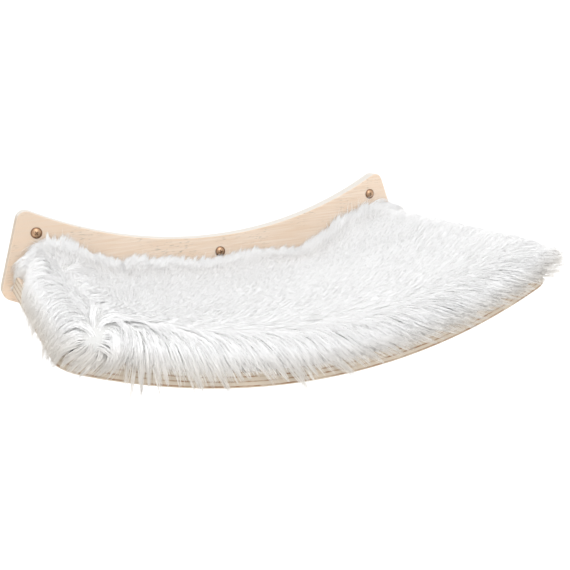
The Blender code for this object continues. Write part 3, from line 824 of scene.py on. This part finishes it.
def evened(places, steps):
    """A line with its points spread evenly along it."""
    marks = [0.0]
    for here, ahead in zip(places, places[1:]):
        marks.append(marks[-1] + (ahead - here).length)
    even, part = [places[0].copy()], 0
    for step in range(1, steps + 1):
        mark = marks[-1] * step / steps
        while part < len(places) - 2 and marks[part + 1] < mark:
            part += 1
        share = (mark - marks[part]) / max(marks[part + 1] - marks[part], 1e-9)
        even.append(places[part].lerp(places[part + 1], min(share, 1.0)))
    return even


# Locks count as loose from this share of nearness to an edge, and have more steps
LOOSE_FROM, LOOSE_STEPS, FIRM_STEPS = 0.3, 5, 3

# How near the crown locks are unruly, and the spread of their own turn inside the pad and more at each edge
CROWN_LOCKS = 0.022
TURN_INSIDE, TURN_EDGE, TURN_PLATE, TURN_CROWN = 0.005, 0.03, 0.09, 0.10

# Spread of a lock's length, its part that holds inside the pad, the part that edges add, and their change
LENGTH_SPREAD, SPREAD_INSIDE, SPREAD_LOOSE = (-0.18, 0.15), 0.15, 0.85
LONGER_FRONT, LONGER_PLATE, SHORTER_LEFT = 0.45, 0.25, 0.15

# Height of a lock's arch over the underfur: inside the pad, its spread, more at the front and the ends. Then
# how far round the arch goes, its share that counts at the plate, and the sag of locks at the left
LIFT_INSIDE, LIFT_SPREAD, LIFT_FRONT, LIFT_END = 0.0035, 0.0003, 0.001, 0.002
ARCH_TURN, LIFT_BY_PLATE, SAG, SAG_SPREAD = 2.6, 0.6, 0.0045, (0.5, 1.3)

# How far a lock closes at its tip, by edge, with its spread and limit
CLOSING_FRONT, CLOSING_PLATE, CLOSING_LEFT, CLOSING_SPREAD, CLOSING_MOST = 0.26, 0.40, 0.20, 0.05, 0.9

# How far the tuft at the right front corner stands off, and its spread
TUFT_LIFT, TUFT_SPREAD = 0.016, (0.5, 1.1)

# Share of strands that stray, how far, how many more at the right, and from where and over what length
STRAYS, STRAY_REACH, MORE_STRAYS, RUFFLED_FROM, RUFFLED_REACH = 0.04, 0.003, 0.08, 0.12, 0.12

# Spread of the tips' places, and the least distance of a tip past its root, with its spread
TIP_SPREAD, BUNDLE_TIP_SPREAD, END_TIP_SPREAD = 0.003, 0.001, 0.005
NEAREST_TIP, NEAREST_SPREAD = 0.0015, 0.002

# How far past each end the tips reach, how much more at most, and the stretch over which that grows, towards
# the front at the right and away from the plate at the left
RIGHT_TIPS = (0.012, 0.010, 0.06)
LEFT_TIPS = (0.013, 0.021, 0.20)


class Lock:
    """A lock of the pile: the flat line that its strands follow, its lift, and how it closes at its tip."""

    def __init__(self, along, y, lines, rng, looks):
        front, left, right, plate = edge_shares(along, y)
        loose = max(front, left, right, plate)
        self.steps = LOOSE_STEPS if loose > LOOSE_FROM else FIRM_STEPS
        start = Vector((along, y))
        crown = eased(1 - (start - CROWN).length / CROWN_LOCKS)
        unruly = TURN_INSIDE + TURN_EDGE * front + TURN_EDGE * left + TURN_PLATE * plate + TURN_CROWN * crown
        own_turn = Matrix.Rotation(rng.gauss(0, unruly), 2)
        spread = rng.uniform(*LENGTH_SPREAD) * (SPREAD_INSIDE + SPREAD_LOOSE * loose)
        length = looks.strand_length * (1 + spread)
        length *= 1 + LONGER_FRONT * front + LONGER_PLATE * plate - SHORTER_LEFT * left * (1 - front)
        self.lift = LIFT_INSIDE + LIFT_SPREAD * loose * rng.gauss(0, 1) + LIFT_FRONT * front
        self.lift += LIFT_END * (right + left + crown)
        self.sag = SAG * left * (1 - front) * rng.uniform(*SAG_SPREAD)
        closing = CLOSING_FRONT * front + max(CLOSING_PLATE * plate, CLOSING_LEFT * left)
        closing += rng.gauss(0, CLOSING_SPREAD) * loose
        self.close(min(CLOSING_MOST, max(0.0, closing)), power=7, shortest=0.68)
        ruffled = eased((along - RUFFLED_FROM) / RUFFLED_REACH)
        self.strays = STRAYS + MORE_STRAYS * ruffled
        self.stray_reach = STRAY_REACH + STRAY_REACH * ruffled
        tip_height = between(CREST, along)[0] + rng.gauss(0, TIP_SPREAD)
        plate_height = body_height(along, PLATE_Y, looks)
        top = tip_height - plate_height - self.lift * LIFT_BY_PLATE + PLATE_Y
        past_here = past_outline(along, y, PILE_CORNER)[0]
        nearest = past_here + NEAREST_TIP + abs(rng.gauss(0, NEAREST_SPREAD))
        aside = 0.0
        if front > LOOSE_FROM:
            longest = self.front_limit(LONGEST_TIP, looks)
            end = walked(start, own_turn, BUNDLE_LENGTH, longest, top)[-1].x
            short, long = between(FRINGE, end)[:2]
            limit = self.front_limit(short + rng.gauss(0, TIP_SPREAD), looks)
            line, reached = min(lines, key=lambda line: abs(line[0] - end))
            if abs(line - end) < BUNDLE_WIDTH:
                tip = short + (long - short) * reached + rng.gauss(0, BUNDLE_TIP_SPREAD)
                limit = self.front_limit(tip, looks)
                length = BUNDLE_LENGTH
                aside = line - end
                self.close(0.93, power=2, shortest=0.86)
        else:
            limit = self.end_limit(y, right, rng)
        corner = min(right, front)
        if corner > 0.5:
            self.lift += TUFT_LIFT * corner * rng.uniform(*TUFT_SPREAD)
            self.close(0.93, power=2, shortest=0.5)
        self.places = evened(walked(start, own_turn, length, max(limit, nearest), top), self.steps)
        for step, place in enumerate(self.places):
            place.x += aside * (step / self.steps) ** 2

    def close(self, closing, power, shortest):
        """Sets how far and how late along it the lock closes, and the share of its shortest strands."""
        self.closing, self.closing_power, self.shortest = closing, power, shortest

    def front_limit(self, tip, looks):
        """How far past the outline, laid flat, a tip of this height over the seat lies."""
        return ROLL_RADIUS * (math.pi / 2 - 1) + looks.body_height - ROLL_RADIUS - tip

    def end_limit(self, y, right, rng):
        """How far past an end of the seat, laid flat, the lock's tip may reach."""
        least, more, stretch = RIGHT_TIPS if right > 0 else LEFT_TIPS
        full = 1 + (FRONT_Y - y) / stretch if right > 0 else (PLATE_Y - y) / stretch
        return least + more * eased(full) + rng.gauss(0, END_TIP_SPREAD)

    def at(self, share):
        """The flat place, lift and sag of the lock's line at a share of its length."""
        share = min(max(share, 0.0), 1.0)
        step = min(int(share * self.steps), self.steps - 1)
        place = self.places[step].lerp(self.places[step + 1], share * self.steps - step)
        return place, self.lift * math.sin(share * ARCH_TURN), self.sag * share * share


# How many strands stand together near the plate and the crown, how far apart, and how near to these
DENSE_TIMES, DENSE_APART = 3, 0.001
DENSE_BY_PLATE, DENSE_BY_CROWN = 0.012, 0.018

# Flat places tried for locks, how much closer these stand along an edge, and the quick pile's divisor
LOCK_TRIES, CLOSER_BY_EDGE, QUICK_PART = 40000, 0.55, 4

# A strand: depth of its root, its longest share of its lock's length, how far it strays inside the lock, its
# least lift, how late it tapers, and the spread of its width and lift
ROOT_DEPTH, LONGEST_STRAND, STRAY_INSIDE, LEAST_LIFT, TAPER_POWER = 0.0015, 1.06, 0.0006, 0.0003, 2.0
WIDTH_SPREAD, OWN_LIFT_SPREAD = (0.65, 1.15), (0.95, 1.04)


def flat_samples(count, rng):
    """Random flat places over the whole underfur, denser at the crown and the plate, where strands part."""
    picked = []
    while len(picked) < count:
        along = rng.uniform(-1, 1) * (HALF_ARC + BODY_PAST)
        y = rng.uniform(FRONT_Y - BODY_PAST, PLATE_Y + BODY_UP_PLATE)
        if past_outline(along, y, PILE_CORNER)[0] < BODY_PAST:
            place = Vector((along, y))
            dense = y > PLATE_Y - DENSE_BY_PLATE or (place - CROWN).length < DENSE_BY_CROWN
            for number in range(DENSE_TIMES if dense else 1):
                picked.append(place + Vector((rng.gauss(0, 1), 0)) * DENSE_APART * number)
    return picked


def spaced(samples, spacing_at, widest):
    """Thins samples so that none lies nearer to another than the spacing at its place."""
    kept, cells = [], {}
    for place in samples:
        column, row = math.floor(place.x / widest), math.floor(place.y / widest)
        around = [(column + i, row + j) for i in (-1, 0, 1) for j in (-1, 0, 1)]
        near = [other for key in around for other in cells.get(key, ())]
        spacing = spacing_at(place)
        if all((other - place).length > spacing for other in near):
            cells.setdefault((column, row), []).append(place)
            kept.append(place)
    return kept


def grown_strand(root, lock, rng, looks):
    """The points and the radii of one strand of a lock."""
    own = rng.uniform(lock.shortest, LONGEST_STRAND)
    offset = root - lock.places[0]
    spread = lock.stray_reach if rng.random() < lock.strays else STRAY_INSIDE
    stray = Vector((rng.gauss(0, 1), rng.gauss(0, 1), rng.gauss(0, 1))) * spread
    width = looks.strand_radius * rng.uniform(*WIDTH_SPREAD)
    own_lift = rng.uniform(*OWN_LIFT_SPREAD)
    points, radii = [laid(root.x, root.y, -ROOT_DEPTH, looks)], [width]
    for step in range(1, lock.steps + 1):
        share = step / lock.steps
        place, lift, sag = lock.at(share * own)
        place = place + offset * (1 - lock.closing * share**lock.closing_power) + stray.xy * share
        point = laid(place.x, place.y, max(lift * own_lift + stray.z * share, LEAST_LIFT), looks)
        point.z -= sag
        points.append(point)
        radii.append(width * (1 - share**TAPER_POWER) if step < lock.steps else 0.0)
    return points, radii


def strand_mesh(name, strands):
    """Strands as tapered three-sided curves, turned to one mesh of closed solids."""
    section = bpy.data.curves.new("strand section", "CURVE")
    section.dimensions = "2D"
    triangle = section.splines.new("POLY")
    triangle.points.add(2)
    for number, point in enumerate(triangle.points):
        turn = math.tau * number / 3
        point.co = (math.cos(turn), math.sin(turn), 0, 1)
    triangle.use_cyclic_u = True
    section_object = placed("strand section", section)
    curve = bpy.data.curves.new(name, "CURVE")
    curve.dimensions = "3D"
    curve.bevel_mode = "OBJECT"
    curve.bevel_object = section_object
    curve.use_fill_caps = True
    for points, radii in strands:
        spline = curve.splines.new("POLY")
        spline.points.add(len(points) - 1)
        spline.points.foreach_set("co", [c for p in points for c in (p.x, p.y, p.z, 1.0)])
        spline.points.foreach_set("radius", radii)
    strand_object = placed(name, curve)
    graph = bpy.context.evaluated_depsgraph_get()
    mesh = bpy.data.meshes.new_from_object(strand_object.evaluated_get(graph))
    mesh.name = name
    bpy.data.objects.remove(strand_object)
    bpy.data.objects.remove(section_object)
    bm = bmesh.new()
    bm.from_mesh(mesh)
    bmesh.ops.remove_doubles(bm, verts=bm.verts, dist=0.001 * MM)
    if bm.calc_volume(signed=True) < 0:
        bmesh.ops.reverse_faces(bm, faces=bm.faces)
    bm.to_mesh(mesh)
    bm.free()
    mesh.shade_smooth()
    return mesh


class HAMMOCK_OT_pile(bpy.types.Operator):
    """Grows the long pile as locks of tapered strands"""

    bl_idname = "hammock.pile"
    bl_label = "Long pile"

    def execute(self, context):
        looks = context.scene.hammock_pad
        rng = random.Random(looks.seed)

        def lock_spacing(place):
            """Wide locks inside the pad and narrow ones along its free edges."""
            return looks.lock_spacing * (1 - CLOSER_BY_EDGE * max(edge_shares(place.x, place.y)))

        spots = spaced(flat_samples(LOCK_TRIES, rng), lock_spacing, looks.lock_spacing)
        lines = bundle_lines(rng)
        locks = [Lock(place.x, place.y, lines, rng, looks) for place in spots]
        tree = KDTree(len(locks))
        for number, lock in enumerate(locks):
            tree.insert(lock.places[0].to_3d(), number)
        tree.balance()
        count = looks.strands
        strands = []
        for place in flat_samples(count, rng):
            _, number, _ = tree.find(place.to_3d())
            strands.append((place.x, grown_strand(place, locks[number], rng, looks)))
        strands.sort(key=lambda entry: entry[0])
        colours = looks.pile, looks.pile_shade
        finish = soft_fibre("acrylic_long_pile", *colours, 7 * MM, 0.85, 0.1, looks.hanging)
        share = len(strands) / looks.pieces
        for piece in range(looks.pieces):
            group = strands[round(piece * share) : round((piece + 1) * share)]
            name = f"pile_strands_{piece + 1}"
            add_piece(name, strand_mesh(name, [entry[1] for entry in group]), finish)
        return {"FINISHED"}


# The photograph's view: degrees round to the left, down and tilted, and the camera's place
CAMERA_TURN = (24.057, 14.121, -2.972)
CAMERA_PLACE = Vector((-0.345416, -0.993295, 0.242257))

# The middle of the seat, which the lights look at
LIT_PLACE = Vector((0, -0.15, 0))


def camera_matrix():
    """The camera's place and turn: from the front left, looking down."""
    yaw, pitch, roll = (math.radians(value) for value in CAMERA_TURN)
    turned = Matrix.Rotation(-yaw, 4, "Z") @ Matrix.Rotation(math.pi / 2 - pitch, 4, "X")
    return Matrix.Translation(CAMERA_PLACE) @ turned @ Matrix.Rotation(roll, 4, "Z")


def add_light(name, place, size, power):
    """A round soft light that looks at the middle of the seat."""
    light = bpy.data.lights.new(name, "AREA")
    light.shape = "DISK"
    light.size = size
    light.energy = power
    facing = (place - LIT_PLACE).to_track_quat("Z", "Y").to_matrix().to_4x4()
    placed(name, light).matrix_world = Matrix.Translation(place) @ facing


class HAMMOCK_OT_stage(bpy.types.Operator):
    """Makes the floor, the light and the camera"""

    bl_idname = "hammock.stage"
    bl_label = "Stage"

    def execute(self, context):
        looks = context.scene.hammock_stage
        scene = context.scene
        scene.view_settings.view_transform = "Standard"

        scene.world = bpy.data.worlds.new("even studio light")
        scene.world.use_nodes = True
        background = scene.world.node_tree.nodes["Background"]
        feed(background, {"Color": (1, 1, 1, 1), "Strength": looks.world_strength})

        bm = bmesh.new()
        bmesh.ops.create_grid(bm, x_segments=1, y_segments=1, size=30.0)
        bmesh.ops.translate(bm, verts=bm.verts, vec=(0, 0, -looks.floor_drop))
        finish, _, shader = new_material("floor_matt")
        feed(shader, {"Base Color": looks.floor, "Roughness": 0.9})
        floor = placed("floor", mesh_of("floor", bm, smooth=False))
        floor.data.materials.append(finish)

        add_light("key", place=Vector((0.0, -1.6, 1.75)), size=2.0, power=looks.key_power)
        add_light("glint", place=Vector((-0.99, -1.27, 0.35)), size=0.14, power=looks.glint_power)

        camera = bpy.data.cameras.new("camera")
        camera.sensor_width = 36.0
        camera.lens = looks.lens
        camera.clip_start = 0.01
        camera.clip_end = 100.0
        scene.camera = placed("camera", camera)
        scene.camera.matrix_world = camera_matrix()
        return {"FINISHED"}


class HAMMOCK_PT_panel(bpy.types.Panel):
    """Lists the steps that dress the hammock"""

    bl_idname = "HAMMOCK_PT_panel"
    bl_label = "Cat hammock"
    bl_space_type = "VIEW_3D"
    bl_region_type = "UI"
    bl_category = "Cat hammock"

    def draw(self, context):
        for step in STEPS:
            self.layout.operator(step.bl_idname)


LOOKS = {
    "hammock_wood": WoodLooks,
    "hammock_screws": ScrewLooks,
    "hammock_pad": PadLooks,
    "hammock_stage": StageLooks,
}
STEPS = (
    HAMMOCK_OT_stage,
    HAMMOCK_OT_wood,
    HAMMOCK_OT_screws,
    HAMMOCK_OT_patches,
    HAMMOCK_OT_pad_layers,
    HAMMOCK_OT_pile_body,
    HAMMOCK_OT_pile,
)


CLASSES = (*LOOKS.values(), *STEPS, HAMMOCK_PT_panel)


def register():
    for one in CLASSES:
        bpy.utils.register_class(one)
    for name, group in LOOKS.items():
        setattr(bpy.types.Scene, name, PointerProperty(type=group))


def unregister():
    for name in LOOKS:
        delattr(bpy.types.Scene, name)
    for one in reversed(CLASSES):
        bpy.utils.unregister_class(one)


def main():
    register()
    bpy.ops.hammock.stage()
    bpy.ops.hammock.wood()
    bpy.ops.hammock.screws()
    bpy.ops.hammock.patches()
    bpy.ops.hammock.pad_layers()
    bpy.ops.hammock.pile_body()
    bpy.ops.hammock.pile()


if __name__ == "__main__":
    main()
